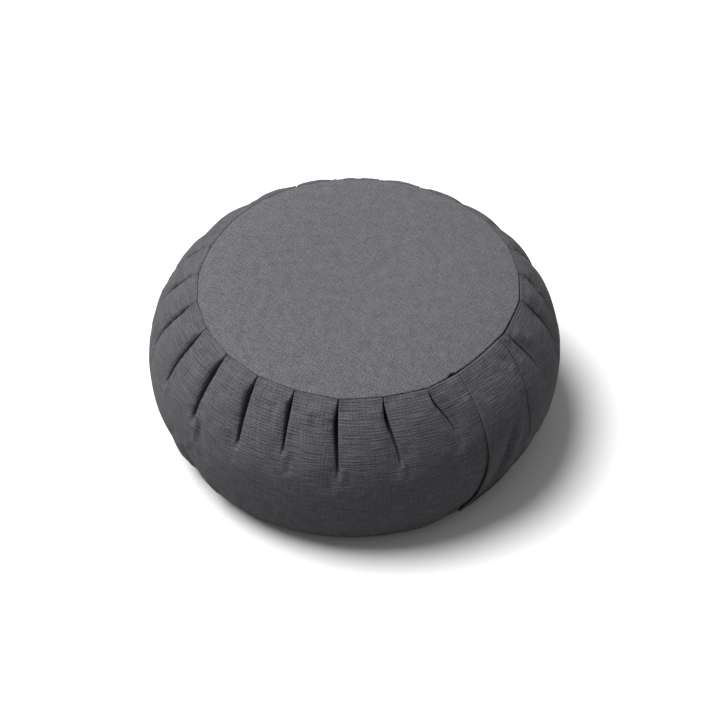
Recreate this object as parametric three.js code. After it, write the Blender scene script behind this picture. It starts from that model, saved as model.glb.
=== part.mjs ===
// A zafu: a round, filled and pleated cushion for sitting in meditation, standing on its bottom panel.
//
// Millimetres, +Z up. The origin is under the middle of the cushion, on the surface it stands on.
// Angles are in degrees, counter-clockwise seen from above, and start at the front (-Y): 90 is +X.
// Places down the side are given by sink: 0 at the top seam, 1 at the widest line, 2 at the bottom seam.

import * as THREE from 'three';

// Driving sizes of the filled cushion.
const widestRadius = 180;
const widestHeight = 75;
const topSeamHeight = 150;
const topSeamTilt = 2.4;
const topSeamHighestAt = 298;
const crownHeight = 11;
const bottomSeamRadius = 140;
const bottomSeamHeight = 1.2;
const footHeight = 0.4;
const footStart = 7;

// Driving sizes of the cloth and of what is left between two pieces.
const clothThickness = 1.6;
const parting = 0.45;
const seamParting = 1;
const wallParting = 0.7;

// The side's section is a quarter of a superellipse above the widest line and another below it.
const upperCurve = { half: 126, power: 1.864 };
const lowerCurve = { half: 125, power: 2.35 };

// How far the filled side leaves a true circle: waves round the cushion, as a share of the radius.
const outOfRound = [
  { waves: 2, share: 0.008, crestAt: -5 },
  { waves: 3, share: 0.004, crestAt: -19 },
];

// The pleats of the band, one row each, in order round the cushion.
// at: angle at the top seam. reach: distance of the seam from the axis there. lean: how far the
// pleat drifts sideways by its foot. foot: the height where it has opened out into the filled side.
// deep, wide: its size where it is most open. lip: the side whose edge is the steeper one.
const pleats = [
  { at: -4.9, reach: 141.6, lean: 0.9, foot: 102, deep: 9, wide: 7, lip: 1 },
  { at: 10.3, reach: 140.1, lean: 3.0, foot: 109, deep: 7, wide: 6, lip: 1 },
  { at: 26.1, reach: 141.2, lean: 3.2, foot: 119, deep: 4.5, wide: 5, lip: 1 },
  { at: 67.8, reach: 140.2, lean: 0.5, foot: 120, deep: 3.5, wide: 5, lip: -1 },
  { at: 83.2, reach: 143.4, lean: 1.4, foot: 104, deep: 5, wide: 6, lip: -1 },
  { at: 96.6, reach: 143.6, lean: -2.4, foot: 105, deep: 6, wide: 7, lip: -1 },
  { at: 111.0, reach: 144.0, lean: 1.5, foot: 108, deep: 6, wide: 6, lip: -1 },
  { at: 125.8, reach: 143.4, lean: 0.8, foot: 106, deep: 7, wide: 6, lip: -1 },
  { at: 140.6, reach: 142.3, lean: -1.2, foot: 103, deep: 8, wide: 7, lip: 1 },
  { at: 156.4, reach: 141.0, lean: 1.6, foot: 108, deep: 7, wide: 6, lip: 1 },
  { at: 171.0, reach: 139.8, lean: -0.6, foot: 104, deep: 8, wide: 7, lip: 1 },
  { at: 186.2, reach: 138.6, lean: 1.1, foot: 107, deep: 7, wide: 6, lip: 1 },
  { at: 201.6, reach: 137.3, lean: -1.4, foot: 102, deep: 8, wide: 7, lip: 1 },
  { at: 216.8, reach: 135.6, lean: 1.8, foot: 106, deep: 7, wide: 6, lip: 1 },
  { at: 232.4, reach: 133.4, lean: 1.2, foot: 108, deep: 7, wide: 6, lip: 1 },
  { at: 248.1, reach: 132.6, lean: 0.2, foot: 110, deep: 6, wide: 6, lip: 1 },
  { at: 264.0, reach: 133.7, lean: -2.4, foot: 104, deep: 7, wide: 6, lip: 1 },
  { at: 279.4, reach: 135.2, lean: -2.6, foot: 98, deep: 8, wide: 7, lip: 1 },
  { at: 294.4, reach: 136.2, lean: -1.2, foot: 102, deep: 10, wide: 8, lip: 1 },
  { at: 309.6, reach: 137.5, lean: -0.3, foot: 100, deep: 11, wide: 9, lip: 1 },
  { at: 325.1, reach: 138.9, lean: 1.2, foot: 106, deep: 10, wide: 8, lip: 1 },
  { at: 339.6, reach: 139.4, lean: 0.5, foot: 117, deep: 9, wide: 7, lip: 1 },
];

// The closing flap: it is sewn to the band along join and lies free on it along edge.
// sweep is the drift of the line between the widest line and the bottom seam.
const flap = {
  edge: { at: 38.9, reach: 138.6, lean: 0.4, foot: 108, sweep: -4.5 },
  join: { at: 61.4, reach: 138.6, lean: -3.6, foot: 92, sweep: 0.6 },
  raisedBehindJoin: 13,
  edgeLift: 1.4,
  edgeLiftAt: 1.3,
};

// Soft folds that the weight of the filling pushes up from the bottom seam, one row each.
// at: angle. sink, long: place and half length down the side. wide: half width. rise: height.
const folds = [
  { at: 50.5, sink: 1.32, long: 0.55, wide: 9, rise: 2.2 },
  { at: 46.8, sink: 1.3, long: 0.5, wide: 7, rise: -1.6 },
  { at: 300.5, sink: 1.6, long: 0.3, wide: 9, rise: 3 },
  { at: 305, sink: 1.68, long: 0.26, wide: 7, rise: -3 },
  { at: 309.5, sink: 1.6, long: 0.3, wide: 8, rise: 2.2 },
  { at: 313, sink: 1.68, long: 0.26, wide: 6, rise: -2 },
  { at: 317, sink: 1.66, long: 0.28, wide: 8, rise: 2.4 },
];

// Share of a pleat's depth at the seam, how far down it is deepest, and the bottom seam's pleats.
const depthAtSeam = 0.3;
const deepestAt = 0.38;
const lobeRise = 1.6;
const bottomPleatDepth = 3;
const bottomPleatStart = 1.55;

// Steps of the meshes.
const upperRows = 9;
const lowerRows = 6;
const footRows = 3;
const columnSteps = [0, 0.085, 0.22, 0.41, 0.6, 0.78, 0.915];
const stepBeforeJoin = 0.995;

const radians = THREE.MathUtils.degToRad;
const lerp = THREE.MathUtils.lerp;
const clamp = THREE.MathUtils.clamp;
const smooth = (value) => THREE.MathUtils.smoothstep(value, 0, 1);

// The smallest signed turn from one angle to another, in degrees.
const turn = (from, to) => THREE.MathUtils.euclideanModulo(to - from + 180, 360) - 180;

// A point at an angle, at a distance from the axis and at a height.
function place(angle, reach, height) {
  const a = radians(angle);
  return new THREE.Vector3(reach * Math.sin(a), -reach * Math.cos(a), height);
}

// Every line that runs down the side, in order round the cushion, and where the seam turns at it.
const lines = [...pleats.slice(0, 3), flap.edge, flap.join, ...pleats.slice(3)];

function topSeamLevel(angle) {
  return topSeamHeight + topSeamTilt * Math.cos(radians(angle - topSeamHighestAt));
}

// The seam runs nearly straight from one line to the next, with half of the bow of a true arc.
function topSeamReach(angle) {
  const next = lines.findIndex((line) => turn(line.at, angle) < 0 && turn(line.at, angle) > -30);
  const to = lines.at(next < 0 ? 0 : next);
  const from = lines.at(lines.indexOf(to) - 1);
  const span = turn(from.at, to.at);
  const share = clamp(turn(from.at, angle) / span, 0, 1);
  const arc = lerp(from.reach, to.reach, share);
  const halfSpan = radians(span / 2);
  const chord = (arc * Math.cos(halfSpan)) / Math.cos(radians(span * share) - halfSpan);
  return (arc + chord) / 2;
}

// A superellipse through the widest line, at a height above or below it.
function superellipse(curve, rise) {
  const up = Math.abs(rise) / curve.half;
  const across = (1 - up ** curve.power) ** (1 / curve.power);
  const outward = across ** (curve.power - 1) / widestRadius;
  const upward = (Math.sign(rise) * up ** (curve.power - 1)) / curve.half;
  return {
    reach: widestRadius * across,
    height: widestHeight + rise,
    out: new THREE.Vector2(outward, upward).normalize(),
  };
}

// Rows of even length on a superellipse: share is 0 at the widest line and 1 at the given rise.
function superellipseRow(curve, rise, share) {
  const fullTurn = Math.asin((Math.abs(rise) / curve.half) ** (curve.power / 2));
  const up = curve.half * Math.sin(fullTurn * share) ** (2 / curve.power);
  return superellipse(curve, Math.sign(rise) * up);
}

// The foot is a round that turns the side under until it faces straight down.
const footJoin = superellipse(lowerCurve, footStart - widestHeight);
const footRadius = (footJoin.height - footHeight) / (1 + footJoin.out.y);
const footTurn = Math.atan2(-footJoin.out.y, footJoin.out.x);

function footRow(share) {
  const a = lerp(footTurn, Math.PI / 2, share);
  const middle = footJoin.reach - footRadius * Math.cos(footTurn);
  return {
    reach: middle + footRadius * Math.cos(a),
    height: footHeight + footRadius * (1 - Math.sin(a)),
    out: new THREE.Vector2(Math.cos(a), -Math.sin(a)),
  };
}

// The side's plain section at a sink. The foot takes the last fifth of it, up to the bottom seam.
const footSink = 1.8;

function section(sink) {
  if (sink <= 1) return superellipseRow(upperCurve, topSeamHeight - widestHeight, 1 - sink);
  if (sink <= footSink) {
    return superellipseRow(lowerCurve, footStart - widestHeight, (sink - 1) / (footSink - 1));
  }
  if (sink < 2) return footRow((sink - footSink) / (2 - footSink - 0.01));
  return { reach: bottomSeamRadius, height: bottomSeamHeight, out: new THREE.Vector2(0, -1) };
}

// The angle of a line at a sink.
function lineAngle(line, sink) {
  const foot = footOf(line);
  const sweep = (line.sweep ?? 0) * smooth(sink - 1);
  return line.at + line.lean * smooth(sink / foot) + sweep;
}

// The sink at which a line ends, from the height of its foot.
function footOf(line) {
  return 1 - (line.foot - widestHeight) / (topSeamHeight - widestHeight) * 0.9;
}

// How deep a pleat has cut in at a sink: part of it at the seam, all of it lower down, none below.
function pleatDepth(pleat, sink) {
  const down = sink / footOf(pleat);
  const opening = lerp(depthAtSeam, 1, smooth(down / deepestAt));
  const closing = clamp((1.1 - down) / (1.1 - deepestAt), 0, 1) ** 1.3;
  return pleat.deep * opening * Math.min(1, closing);
}

// The cut of a pleat at a distance across it, with the rounded shoulders of folded cloth.
function pleatCut(pleat, across, sink) {
  const down = sink / footOf(pleat);
  const width = pleat.wide * clamp(0.45 + 0.75 * down, 0, 1.2);
  const side = Math.sign(across) === pleat.lip ? 0.7 * width : 1.35 * width;
  return clamp(1 - Math.abs(across) / side, 0, 1) ** 1.7;
}

// The filling pushes the cloth out between two pleats, most of all just under the seam.
function lobe(angle, sink) {
  const nearest = Math.min(...pleats.map((pleat) => Math.abs(turn(lineAngle(pleat, sink), angle))));
  const fade = smooth(sink / 0.15) * (1 - smooth((sink - 0.35) / 0.55));
  return lobeRise * fade * smooth(clamp(nearest / 6, 0, 1));
}

// All that presses the cloth of the side in or pushes it out at one place, in mm along its face.
function relief(angle, sink, reach) {
  let out = lobe(angle, sink);
  for (const pleat of pleats) {
    const across = radians(turn(lineAngle(pleat, sink), angle)) * reach;
    if (sink <= 1) out -= pleatDepth(pleat, sink) * pleatCut(pleat, across, sink);
    else out -= bottomPleatDepth * pleatCut(pleat, across, 0.4) * smooth((sink - bottomPleatStart) / 0.3);
  }
  for (const fold of folds) {
    const across = (radians(turn(fold.at, angle)) * reach) / fold.wide;
    const along = (sink - fold.sink) / fold.long;
    out += fold.rise * Math.exp(-across * across) * (1 - smooth(Math.abs(along)));
  }
  return out;
}

// Behind its join the band is as high as the flap, and sinks back to the plain side from there.
function raiseBehindJoin(angle, sink) {
  const behind = turn(lineAngle(flap.join, sink), angle);
  if (behind < -1e-6 || behind > flap.raisedBehindJoin) return 0;
  return (clothThickness + parting) * (1 - smooth(behind / flap.raisedBehindJoin));
}

// The filled side's distance from the axis at an angle, as a share of the mean.
function roundness(angle) {
  return outOfRound.reduce(
    (sum, wave) => sum + wave.share * Math.cos(radians(wave.waves * (angle - wave.crestAt))), 1);
}

// A place on the cloth of the side, and the way it faces in the plane of its section.
function side(angle, sink) {
  const plain = section(sink);
  const round = roundness(angle);
  let reach = plain.reach * round;
  let height = plain.height;
  if (sink < 1) {
    const toSeam = (1 - sink) ** 2;
    reach += toSeam * (topSeamReach(angle) - section(0).reach * round);
    const lift = (topSeamLevel(angle) - widestHeight) / (topSeamHeight - widestHeight);
    height = widestHeight + (height - widestHeight) * lift;
  }
  const onSeam = sink === 0 || sink === 2;
  const push = (onSeam ? 0 : relief(angle, sink, reach)) + raiseBehindJoin(angle, sink);
  return {
    at: place(angle, reach + plain.out.x * push, Math.max(height + plain.out.y * push, footHeight)),
    out: place(angle, plain.out.x, plain.out.y),
  };
}

// Sinks of the rows of the side, from the top seam to the bottom one.
const rows = [
  ...Array.from({ length: upperRows }, (_, i) => i / upperRows),
  ...Array.from({ length: lowerRows }, (_, i) => 1 + (i / lowerRows) * (footSink - 1)),
  ...Array.from({ length: footRows }, (_, i) => footSink + ((i + 0.5) / footRows) * (2 - footSink)),
  2,
];

// A column stands between two neighbouring lines, at a share of the way, and follows their lean.
const columns = lines.flatMap((from, i) => {
  const to = lines[(i + 1) % lines.length];
  const steps = to === flap.join ? [...columnSteps, stepBeforeJoin] : columnSteps;
  return steps.map((share) => ({ from, to, share }));
});

function columnAngle(column, sink) {
  const start = lineAngle(column.from, sink);
  return start + column.share * turn(start, lineAngle(column.to, sink));
}

// A closed solid from rings of points, given from its lowest middle outwards and up to its top middle.
// A ring is a list of points counter-clockwise seen from above, and each end is closed by one point.
function solidOfRings(bottomPoint, rings, topPoint) {
  const count = rings[0].length;
  const points = [bottomPoint, ...rings.flat(), topPoint];
  const top = points.length - 1;
  const index = (ring, i) => 1 + ring * count + (i % count);
  const faces = [];
  for (let i = 0; i < count; i++) {
    faces.push(0, index(0, i + 1), index(0, i));
    faces.push(top, index(rings.length - 1, i), index(rings.length - 1, i + 1));
    for (let ring = 0; ring + 1 < rings.length; ring++) {
      faces.push(index(ring, i), index(ring, i + 1), index(ring + 1, i + 1));
      faces.push(index(ring, i), index(ring + 1, i + 1), index(ring + 1, i));
    }
  }
  return geometryOf(points, faces);
}

// A closed sheet between two grids of points. Rows run down the side and columns run round it.
function solidOfSheet(outer, inner) {
  const rowCount = outer.length;
  const columnCount = outer[0].length;
  const points = [...outer.flat(), ...inner.flat()];
  const over = (row, column) => row * columnCount + column;
  const under = (row, column) => rowCount * columnCount + over(row, column);
  const faces = [];
  const quad = (a, b, c, d) => faces.push(a, b, c, a, c, d);
  for (let row = 0; row + 1 < rowCount; row++) {
    for (let column = 0; column + 1 < columnCount; column++) {
      quad(over(row + 1, column), over(row + 1, column + 1), over(row, column + 1), over(row, column));
      quad(under(row + 1, column), under(row, column), under(row, column + 1), under(row + 1, column + 1));
    }
    quad(over(row, 0), under(row, 0), under(row + 1, 0), over(row + 1, 0));
    const last = columnCount - 1;
    quad(over(row, last), over(row + 1, last), under(row + 1, last), under(row, last));
  }
  for (let column = 0; column + 1 < columnCount; column++) {
    const last = rowCount - 1;
    quad(over(0, column), over(0, column + 1), under(0, column + 1), under(0, column));
    quad(over(last, column), under(last, column), under(last, column + 1), over(last, column + 1));
  }
  return geometryOf(points, faces);
}

function geometryOf(points, faces) {
  const geometry = new THREE.BufferGeometry().setFromPoints(points);
  geometry.setIndex(faces);
  geometry.computeVertexNormals();
  return geometry;
}

// The top panel's face over its seam plane: a soft crown that rolls down into the seam at its rim.
const rollDepth = 0.6;
const rollShare = 0.94;

function crown(share) {
  const roll = clamp((share - rollShare) / (1 - rollShare), 0, 1);
  return crownHeight * (1 - share ** 2.2) - rollDepth * roll * roll;
}

function onTopPanel(angle, share, drop) {
  const height = lerp(topSeamHeight, topSeamLevel(angle), share) + crown(share) - drop;
  return place(angle, share * (topSeamReach(angle) - seamParting), height);
}

// The bottom panel's face: flat where the cushion rests, and curled up at its rim to the seam.
const flatShare = 0.95;

function onBottomPanel(angle, share, rise) {
  const curl = clamp((share - flatShare) / (1 - flatShare), 0, 1);
  const reach = share * (bottomSeamRadius * roundness(angle) - seamParting);
  return place(angle, reach, bottomSeamHeight * curl * curl + rise);
}

// The filled side band. Its ends are cut back under the two panels, which lie in them.
function makeSideBand() {
  const ring = (sink) => columns.map((column) => side(columnAngle(column, sink), sink).at);
  const underTop = (share, outward) => columns.map((column) => {
    const angle = columnAngle(column, 0);
    return onTopPanel(angle, share, clothThickness + parting).add(place(angle, outward, -outward));
  });
  const overBottom = (share, outward) => columns.map((column) => {
    const angle = columnAngle(column, 2);
    return onBottomPanel(angle, share, clothThickness + parting).add(place(angle, outward, outward));
  });
  const rings = [
    overBottom(0.8, 0),
    overBottom(1, wallParting),
    ...rows.map(ring).reverse(),
    underTop(1, wallParting),
    underTop(0.6, 0),
  ];
  const lowMiddle = onBottomPanel(0, 0, clothThickness + parting);
  const highMiddle = onTopPanel(0, 0, clothThickness + parting);
  return solidOfRings(lowMiddle, rings, highMiddle);
}

// The panels' columns: one at each line of the side, where their edge turns, and two between.
const panelAngles = lines.flatMap((from, i) => {
  const to = lines[(i + 1) % lines.length];
  return [0, 1 / 3, 2 / 3].map((share) => from.at + share * turn(from.at, to.at));
});

function makeTopPanel() {
  const shares = [0.3, 0.55, 0.75, 0.88, 0.96, 1];
  const ring = (share, drop) => panelAngles.map((angle) => onTopPanel(angle, share, drop));
  const under = shares.map((share) => ring(share, clothThickness));
  const over = shares.map((share) => ring(share, 0)).reverse();
  return solidOfRings(onTopPanel(0, 0, clothThickness), [...under, ...over], onTopPanel(0, 0, 0));
}

function makeBottomPanel() {
  const shares = [flatShare, 1];
  const ring = (share, rise) => panelAngles.map((angle) => onBottomPanel(angle, share, rise));
  const under = shares.map((share) => ring(share, 0));
  const over = shares.map((share) => ring(share, clothThickness)).reverse();
  return solidOfRings(onBottomPanel(0, 0, 0), [...under, ...over], onBottomPanel(0, 0, clothThickness));
}

// The closing flap lies on the band from its free edge to its join, lifted a little along the edge.
// It ends on the foot, just short of the surface that the cushion stands on.
const flapEndShare = 0.985;
const flapEndSink = footSink + 0.05;

function makeClosingFlap() {
  const shares = [...columnSteps, flapEndShare];
  const flapRows = rows.filter((sink) => sink < flapEndSink);
  const layer = (height) => flapRows.map((sink) => shares.map((share) => {
    const cloth = side(columnAngle({ from: flap.edge, to: flap.join, share }, sink), sink);
    const near = 1 - smooth(Math.abs(sink - flap.edgeLiftAt) / 0.7);
    const lift = flap.edgeLift * near * (1 - smooth(share / 0.3));
    return cloth.at.addScaledVector(cloth.out, height + lift);
  }));
  return solidOfSheet(layer(parting + clothThickness), layer(parting));
}

// Charcoal-grey linen-look cloth, a little lighter on the panels, which face the light.
const bandCloth = new THREE.MeshStandardMaterial({ color: 0x5a585c, roughness: 0.92, metalness: 0 });
const panelCloth = new THREE.MeshStandardMaterial({ color: 0x66646a, roughness: 0.92, metalness: 0 });

function piece(name, geometry, material) {
  const mesh = new THREE.Mesh(geometry, material);
  mesh.name = name;
  return mesh;
}

const zafu = new THREE.Group();
zafu.add(piece('side_band', makeSideBand(), bandCloth));
zafu.add(piece('top_panel', makeTopPanel(), panelCloth));
zafu.add(piece('bottom_panel', makeBottomPanel(), panelCloth));
zafu.add(piece('closing_flap', makeClosingFlap(), bandCloth));

export default zafu;
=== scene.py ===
# %% [markdown]
# # A zafu, a pleated meditation cushion
#
# The real cushion is four cuts of one charcoal-grey cloth: a long side band gathered into two
# round seams, a top and a bottom disc, and a plain flap that closes the side over the filling.
# The solid model in the frame has the right size and form. This script gives it the fine cloth
# form, the weave and the light. It works in metres, with the cushion standing at the origin.

# %% Load the frame
import math

import bpy
import numpy as np
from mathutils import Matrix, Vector


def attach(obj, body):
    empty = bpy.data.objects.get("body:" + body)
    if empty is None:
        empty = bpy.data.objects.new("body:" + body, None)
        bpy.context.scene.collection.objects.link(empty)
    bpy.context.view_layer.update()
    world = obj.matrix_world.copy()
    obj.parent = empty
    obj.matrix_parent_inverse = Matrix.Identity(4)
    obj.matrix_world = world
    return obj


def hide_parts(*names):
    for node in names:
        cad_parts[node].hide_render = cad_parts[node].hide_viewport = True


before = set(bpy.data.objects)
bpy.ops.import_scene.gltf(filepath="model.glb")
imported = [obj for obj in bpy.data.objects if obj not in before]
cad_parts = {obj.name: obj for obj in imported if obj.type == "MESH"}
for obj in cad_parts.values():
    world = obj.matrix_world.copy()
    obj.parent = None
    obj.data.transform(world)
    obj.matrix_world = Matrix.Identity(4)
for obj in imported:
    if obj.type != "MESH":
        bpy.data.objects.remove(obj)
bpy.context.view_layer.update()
MM = 0.001

# %% [markdown]
# ## Camera
#
# The view was worked out from the cushion itself: its outline and the even steps of the pleats
# round the seam give an elevation of 44 degrees and a long lens far away. The camera is placed by
# that elevation and distance, and moved a little so that the middle lands where the photo has it.

# %% Camera
ELEVATION = math.radians(44.07)
DISTANCE = 3.4
FOCAL_PIXELS = 3904.6
IMAGE_SIDE = 720
SENSOR_MM = 36
LOOK_AT = Vector((0, 0, 0.074))
MIDDLE_PIXEL = (353.75, 348.84)


def make_camera():
    """A camera that sees LOOK_AT at MIDDLE_PIXEL of the photo's frame."""
    back = Vector((0, -math.cos(ELEVATION), math.sin(ELEVATION)))
    up = Vector((0, math.sin(ELEVATION), math.cos(ELEVATION)))
    metres_per_pixel = DISTANCE / FOCAL_PIXELS
    right_by = (IMAGE_SIDE / 2 - MIDDLE_PIXEL[0]) * metres_per_pixel
    down_by = (IMAGE_SIDE / 2 - MIDDLE_PIXEL[1]) * metres_per_pixel
    data = bpy.data.cameras.new("camera")
    data.sensor_width = SENSOR_MM
    data.lens = FOCAL_PIXELS * SENSOR_MM / IMAGE_SIDE
    camera = bpy.data.objects.new("camera", data)
    camera.location = LOOK_AT + back * DISTANCE + Vector((right_by, 0, 0)) - up * down_by
    camera.rotation_euler = (math.pi / 2 - ELEVATION, 0, 0)
    bpy.context.collection.objects.link(camera)
    bpy.context.scene.camera = camera
    return camera


print("lens, mm:", round(make_camera().data.lens, 1))

# %% [markdown]
# ## The filled form
#
# A filled zafu is a squashed ball with two flat sides. Its section fits a quarter of a
# superellipse above the widest line and a second one below it, which turns under in a small
# round where the weight of the filling presses it on the floor. The section is written as a
# formula, so that every piece can ask it for a place on the cloth. Places down the side are given
# by their sink: 0 at the top seam, 1 at the widest line, 2 at the bottom seam. All sizes here are
# in millimetres, and all angles in degrees from the front towards the right.

# %% Sizes of the filled form
WIDEST_RADIUS = 180.0
WIDEST_HEIGHT = 75.0
TOP_SEAM_HEIGHT = 150.0
TOP_SEAM_TILT = 2.4
TOP_SEAM_HIGHEST_AT = 298.0
BOTTOM_SEAM_RADIUS = 140.0
BOTTOM_SEAM_HEIGHT = 1.2
# The foot is the small round between the side and the underside.
FOOT_HEIGHT = 0.4
FOOT_START = 7.0
FOOT_SINK = 1.8
FOOT_FLAT_AT = 0.8
FOOT_SEAM_FROM = 0.7
# Half height and power of the superellipse above and below the widest line.
UPPER_CURVE = (126.0, 1.864)
LOWER_CURVE = (125.0, 2.35)
# The filling isn't quite round: waves in a turn, their share of the radius, and a crest's angle.
OUT_OF_ROUND = [(2, 0.008, -5), (3, 0.004, -19)]
print("seam height over width:", round(TOP_SEAM_HEIGHT / (2 * WIDEST_RADIUS), 2))


# %% Section of the side
def smooth(value):
    """0 below 0, 1 above 1 and a soft step between them."""
    value = np.clip(value, 0, 1)
    return value * value * (3 - 2 * value)


def turn(start, end):
    """The smallest signed turn from one angle to another."""
    return (np.asarray(end, float) - start + 180) % 360 - 180


def superellipse(curve, rise):
    """Reach, height and outward direction of the side at a height over the widest line."""
    half, power = curve
    up = abs(rise) / half
    across = (1 - up**power) ** (1 / power)
    sideways = across ** (power - 1) / WIDEST_RADIUS
    upwards = np.sign(rise) * up ** (power - 1) / half
    out = np.array([sideways, upwards])
    return WIDEST_RADIUS * across, WIDEST_HEIGHT + rise, out / np.hypot(*out)


def superellipse_row(curve, rise, share):
    """The same in nearly even steps: share is 0 at the widest line and 1 at the given rise."""
    half, power = curve
    full = math.asin((abs(rise) / half) ** (power / 2))
    return superellipse(curve, np.sign(rise) * half * math.sin(full * share) ** (2 / power))


FOOT_JOIN = superellipse(LOWER_CURVE, FOOT_START - WIDEST_HEIGHT)
FOOT_ROUND = (FOOT_JOIN[1] - FOOT_HEIGHT) / (1 + FOOT_JOIN[2][1])
FOOT_TURN = math.atan2(-FOOT_JOIN[2][1], FOOT_JOIN[2][0])


def section(sink):
    """Reach, height and outward direction of the plain side at a sink."""
    if sink <= 1:
        return superellipse_row(UPPER_CURVE, TOP_SEAM_HEIGHT - WIDEST_HEIGHT, 1 - sink)
    if sink <= FOOT_SINK:
        share = (sink - 1) / (FOOT_SINK - 1)
        return superellipse_row(LOWER_CURVE, FOOT_START - WIDEST_HEIGHT, share)
    share = (sink - FOOT_SINK) / (2 - FOOT_SINK)
    angle = FOOT_TURN + min(1, share / FOOT_FLAT_AT) * (math.pi / 2 - FOOT_TURN)
    reach = FOOT_JOIN[0] + FOOT_ROUND * (math.cos(angle) - math.cos(FOOT_TURN))
    height = FOOT_HEIGHT + FOOT_ROUND * (1 - math.sin(angle))
    to_seam = float(smooth((share - FOOT_SEAM_FROM) / (1 - FOOT_SEAM_FROM)))
    reach += to_seam * (BOTTOM_SEAM_RADIUS - reach)
    height += to_seam * (BOTTOM_SEAM_HEIGHT - height)
    return reach, height, np.array([math.cos(angle), -math.sin(angle)])


def roundness(angle):
    """The filled side's distance from the axis at an angle, as a share of the mean."""
    bulges = [share * np.cos(np.radians(waves * (angle - crest)))
              for waves, share, crest in OUT_OF_ROUND]
    return 1 + sum(bulges)


def place(angle, reach, height):
    """Points in metres from angles, distances from the axis and heights."""
    turned = np.radians(angle)
    to_right = reach * np.sin(turned)
    to_back = -reach * np.cos(turned)
    return np.stack([to_right, to_back, height + 0 * turned], axis=-1) * MM


print("reach at the top seam, mm:", round(section(0)[0], 1))
print("reach at the foot, mm:", round(section(FOOT_SINK)[0], 1))

# %% [markdown]
# ## Lines down the side
#
# The band is longer than the seam, so the maker folds it into pleats as it is sewn. Each pleat is
# closed at the seam, opens into a dark wedge below it and fades out above the widest line. No two
# are alike, so each has its row, matched to the photo: its angle at the seam, the seam's reach
# there, its lean, the height of its foot, its depth and width where it is most open, and the side
# of its crisp lip. The flap's free edge and its join are lines of the same kind.

# %% Pleats and flap lines
PLEAT_COLUMNS = ("at", "reach", "lean", "foot", "deep", "wide", "lip")
PLEATS = [dict(zip(PLEAT_COLUMNS, row)) for row in [
    (-4.9, 141.6, 0.9, 102, 18.0, 4.0, 1),
    (10.3, 140.1, 3.0, 109, 14.0, 3.2, 1),
    (26.1, 141.2, 4.5, 122, 5.5, 1.9, 1),
    (65.2, 140.2, 3.4, 117, 5.0, 2.2, -1),
    (83.2, 143.4, 1.4, 104, 15.0, 3.6, -1),
    (96.6, 143.6, -2.4, 105, 15.0, 3.6, -1),
    (111.0, 144.0, 1.5, 108, 15.0, 3.4, -1),
    (125.8, 143.4, 0.8, 106, 10.0, 4.2, -1),
    (140.6, 142.3, -1.2, 103, 12.0, 4.6, 1),
    (156.4, 141.0, 1.6, 108, 11.0, 4.2, 1),
    (171.0, 139.8, -0.6, 104, 12.0, 4.6, 1),
    (186.2, 138.6, 1.1, 107, 12.0, 4.2, 1),
    (201.6, 137.3, -1.4, 102, 12.0, 4.6, 1),
    (216.8, 135.6, 1.8, 106, 12.0, 4.4, 1),
    (232.4, 133.4, 1.2, 108, 18.0, 3.9, 1),
    (248.1, 132.6, 0.2, 110, 18.0, 4.1, 1),
    (264.0, 133.7, -2.4, 104, 20.0, 4.3, 1),
    (279.4, 135.2, -2.6, 100, 20.0, 4.5, 1),
    (294.4, 136.2, -1.2, 104, 21.0, 4.5, 1),
    (309.6, 137.5, -0.3, 101, 23.0, 5.6, 1),
    (325.1, 138.9, 1.2, 106, 22.0, 4.8, 1),
    (339.6, 139.4, 0.5, 115, 18.0, 3.7, 1),
]]
FLAP_EDGE = dict(at=38.9, reach=138.6, lean=0.3, foot=108, sweep=-4.5)
FLAP_JOIN = dict(at=61.4, reach=138.6, lean=-4.4, foot=92, sweep=0.6)
LINES = PLEATS[:3] + [FLAP_EDGE, FLAP_JOIN] + PLEATS[3:]
print(len(PLEATS), "pleats and", len(LINES) - len(PLEATS), "lines of the flap")

# %% [markdown]
# Lower down the cloth is free of the seam, and the weight of the filling pushes soft folds into
# it. Each row is one fold: its angle, its sink, how far it runs down, its width, its rise, where a
# minus draws the cloth in, and how far it slants.

# %% Soft folds
FOLD_COLUMNS = ("at", "sink", "long", "wide", "rise", "slant")
FOLDS = [dict(zip(FOLD_COLUMNS, row)) for row in [
    (53, 1.60, 0.80, 52, -5.8, 0),
    (40, 1.62, 0.60, 28, -1.8, 0),
    (22, 1.70, 0.40, 20, 1.2, 0),
    (47.4, 1.08, 0.45, 4.5, -1.9, -6),
    (50.6, 1.05, 0.50, 7, 1.8, -6),
    (312.8, 0.82, 0.20, 4, -1.3, 0),
    (303, 1.55, 0.55, 40, -2.8, 0),
    (299, 1.50, 0.45, 12, 1.8, 0),
    (305, 1.62, 0.32, 8, -1.6, 0),
    (314, 1.50, 0.45, 12, 1.2, 0),
]]
print(len(FOLDS), "soft folds")

# %% [markdown]
# The top seam isn't a true circle either. The stitches hold the cloth at each pleat and it lies
# slacker between two of them, so the seam is a ring of shallow bows. Its level is a little tilted,
# as the filling has settled to one side.

# %% Where a line runs, and the top seam
# The side is curved, so a share of its height is a slightly smaller share of the way down.
WAY_PER_HEIGHT = 0.9


def foot_sink(line):
    """The sink at which a line ends, from the height of its foot."""
    height = (line["foot"] - WIDEST_HEIGHT) / (TOP_SEAM_HEIGHT - WIDEST_HEIGHT)
    return 1 - WAY_PER_HEIGHT * height


def line_angle(line, sink):
    """The angle of a line at a sink."""
    lean = line["lean"] * smooth(sink / foot_sink(line))
    return float(line["at"] + lean + line.get("sweep", 0) * smooth(sink - 1))


def top_seam_level(angle):
    """Height of the top seam, which lies a little tilted."""
    return TOP_SEAM_HEIGHT + TOP_SEAM_TILT * np.cos(np.radians(angle - TOP_SEAM_HIGHEST_AT))


LINE_STARTS = np.array([line["at"] for line in LINES])
LINE_REACHES = np.array([line["reach"] for line in LINES])


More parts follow.
